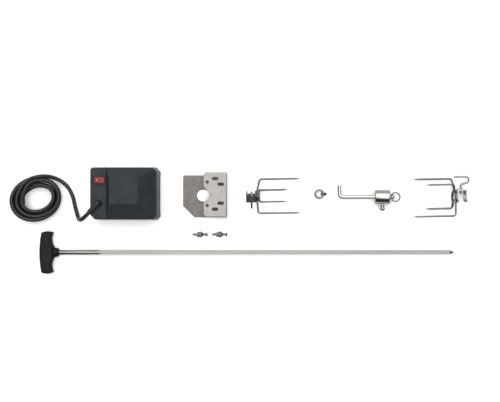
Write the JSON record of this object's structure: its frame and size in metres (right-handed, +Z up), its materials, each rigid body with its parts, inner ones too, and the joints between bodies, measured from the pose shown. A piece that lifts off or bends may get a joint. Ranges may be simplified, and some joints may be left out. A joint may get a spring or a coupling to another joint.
{
  "type": "rotisserie spit roaster kit",
  "caption": "Grill rotisserie kit laid out flat: boxed motor with coiled cord, bolt-on bracket, tined forks, stop ring, counterweight and a long square spit with a grip.",
  "frame": {"origin": "on the table, under the middle of the laid-out kit without its cord", "axes": "+X along the spit towards its point, +Y from the spit towards the motor's side of the layout, +Z up from the table; the motor's crown, the bracket's flange and the drive axis face +Z"},
  "size_m": [0.9534, 0.2213, 0.085],
  "materials": {
    "casing_charcoal": "fine moulded grain",
    "switch_bezel_black": "smooth",
    "switch_red": "smooth translucent",
    "screw_zinc": "zinc plated",
    "gear_nylon": "moulded",
    "bush_brass": "turned",
    "inner_steel": "plain",
    "lead_brown": "smooth",
    "lead_red": "smooth",
    "lead_blue": "smooth",
    "cord_rubber": "soft sheen",
    "plug_black": "fine grain",
    "pin_brass": "plain",
    "bracket_steel": "galvanised, dull",
    "bolt_steel": "zinc plated, dull",
    "fork_chrome": "bright plated",
    "clamp_screw_steel": "plated",
    "ring_chrome": "bright plated",
    "knob_black": "smooth",
    "weight_chrome": "bright plated",
    "rod_steel": "bright drawn",
    "spit_steel": "plated, satin",
    "handle_black": "fine grain"
  },
  "bodies": {
    "motor_unit": {"rear_casing": "casing_charcoal", "front_cover": "casing_charcoal", "case_screws": "screw_zinc", "switch_bezel": "switch_bezel_black", "drive_bush": "bush_brass", "idler_spindle": "inner_steel", "gear_plate": "inner_steel", "motor_can": "inner_steel", "live_lead": "lead_brown", "switch_lead": "lead_red", "neutral_lead": "lead_blue", "cord_boot": "cord_rubber", "power_cord": "cord_rubber", "cord_coil": "cord_rubber", "cord_tail": "cord_rubber", "plug_body": "plug_black", "plug_pins": "pin_brass"},
    "switch_rocker": {"switch_rocker": "switch_red"},
    "output_gear": {"output_gear": "gear_nylon"},
    "idler_gear": {"idler_gear": "gear_nylon"},
    "motor_pinion": {"motor_pinion": "bush_brass"},
    "bracket": {"bracket": "bracket_steel"},
    "bolt_1": {"bolt_1": "bolt_steel"},
    "bolt_1_collar": {"bolt_1_collar": "bolt_steel"},
    "bolt_1_nut": {"bolt_1_nut": "bolt_steel"},
    "bolt_2": {"bolt_2": "bolt_steel"},
    "bolt_2_collar": {"bolt_2_collar": "bolt_steel"},
    "bolt_2_nut": {"bolt_2_nut": "bolt_steel"},
    "fork_left": {"fork_left_hub": "fork_chrome", "fork_left_outer_tines": "fork_chrome", "fork_left_inner_tines": "fork_chrome"},
    "fork_left_screw": {"fork_left_clamp_screw": "clamp_screw_steel"},
    "fork_right": {"fork_right_hub": "fork_chrome", "fork_right_outer_tines": "fork_chrome", "fork_right_inner_tines": "fork_chrome"},
    "fork_right_screw": {"fork_right_clamp_screw": "clamp_screw_steel"},
    "stop_ring": {"stop_ring": "ring_chrome"},
    "stop_ring_screw": {"stop_ring_screw": "knob_black"},
    "balance_rod": {"balance_rod": "rod_steel", "balance_ring": "ring_chrome"},
    "balance_weight": {"balance_weight": "weight_chrome"},
    "balance_thumbscrew": {"balance_thumbscrew": "weight_chrome"},
    "spit": {"spit_handle": "handle_black", "handle_ferrule": "handle_black", "spit_bar": "spit_steel"}
  },
  "joints": [
    {"name": "switch_rock", "type": "hinge", "parent": "motor_unit", "child": "switch_rocker", "pos_m": [-0.31437, 0.08285, 0.0584], "axis": [0, 1, 0], "range_deg": [-24, 0]},
    {"name": "output_turn", "type": "hinge", "parent": "motor_unit", "child": "output_gear", "pos_m": [-0.24697, 0.05555, 0.0155], "axis": [0, 0, 1], "continuous": true},
    {"name": "idler_turn", "type": "hinge", "parent": "motor_unit", "child": "idler_gear", "pos_m": [-0.27201, 0.07244, 0.017], "axis": [0, 0, 1], "continuous": true},
    {"name": "pinion_turn", "type": "hinge", "parent": "motor_unit", "child": "motor_pinion", "pos_m": [-0.26099, 0.04432, 0.025], "axis": [0, 0, 1], "continuous": true},
    {"name": "bracket_lift", "type": "slide", "parent": "motor_unit", "child": "bracket", "axis": [0, 0, 1], "range_m": [0, 0.12]},
    {"name": "bolt_1_lift", "type": "slide", "parent": "motor_unit", "child": "bolt_1", "axis": [0, 0, 1], "range_m": [0, 0.12]},
    {"name": "bolt_1_collar_slide", "type": "slide", "parent": "bolt_1", "child": "bolt_1_collar", "axis": [1, 0, 0], "range_m": [-0.005, 0.005]},
    {"name": "bolt_1_nut_turn", "type": "hinge", "parent": "bolt_1_collar", "child": "bolt_1_nut", "pos_m": [-0.11207, -0.02965, 0.0055], "axis": [1, 0, 0], "range_deg": [-1800, 1800]},
    {"name": "bolt_2_lift", "type": "slide", "parent": "motor_unit", "child": "bolt_2", "axis": [0, 0, 1], "range_m": [0, 0.12]},
    {"name": "bolt_2_collar_slide", "type": "slide", "parent": "bolt_2", "child": "bolt_2_collar", "axis": [1, 0, 0], "range_m": [-0.005, 0.005]},
    {"name": "bolt_2_nut_turn", "type": "hinge", "parent": "bolt_2_collar", "child": "bolt_2_nut", "pos_m": [-0.07097, -0.02965, 0.0055], "axis": [1, 0, 0], "range_deg": [-1800, 1800]},
    {"name": "fork_left_lift", "type": "slide", "parent": "motor_unit", "child": "fork_left", "axis": [0, 0, 1], "range_m": [0, 0.12]},
    {"name": "fork_left_screw_turn", "type": "hinge", "parent": "fork_left", "child": "fork_left_screw", "pos_m": [-0.00697, 0.05039, 0.0258], "axis": [0.0042, -0.2689, 0.9632], "continuous": true},
    {"name": "fork_right_lift", "type": "slide", "parent": "motor_unit", "child": "fork_right", "axis": [0, 0, 1], "range_m": [0, 0.12]},
    {"name": "fork_right_screw_turn", "type": "hinge", "parent": "fork_right", "child": "fork_right_screw", "pos_m": [0.42973, 0.04866, 0.0115], "axis": [-0.0209, 0.9998, 0], "range_deg": [-180, 120]},
    {"name": "stop_ring_lift", "type": "slide", "parent": "motor_unit", "child": "stop_ring", "axis": [0, 0, 1], "range_m": [0, 0.12]},
    {"name": "stop_ring_screw_turn", "type": "hinge", "parent": "stop_ring", "child": "stop_ring_screw", "pos_m": [0.14503, 0.05495, 0.0045], "axis": [1, 0, 0], "continuous": true},
    {"name": "counterweight_lift", "type": "slide", "parent": "motor_unit", "child": "balance_rod", "axis": [0, 0, 1], "range_m": [0, 0.12]},
    {"name": "weight_slide", "type": "slide", "parent": "balance_rod", "child": "balance_weight", "axis": [0.9903, 0, 0.1392], "range_m": [-0.058, 0]},
    {"name": "thumbscrew_turn", "type": "hinge", "parent": "balance_weight", "child": "balance_thumbscrew", "pos_m": [0.26497, 0.03065, 0.01634], "axis": [0, -1, 0], "continuous": true},
    {"name": "spit_lift", "type": "slide", "parent": "motor_unit", "child": "spit", "axis": [0, 0, 1], "range_m": [0, 0.12]}
  ],
  "couplings": [
    {"joint": "idler_turn", "follows": "output_turn", "ratio": -4},
    {"joint": "pinion_turn", "follows": "output_turn", "ratio": 16},
    {"joint": "bolt_1_collar_slide", "follows": "bolt_1_nut_turn", "m_per_rad": 0.00015915},
    {"joint": "bolt_2_collar_slide", "follows": "bolt_2_nut_turn", "m_per_rad": 0.00015915}
  ]
}
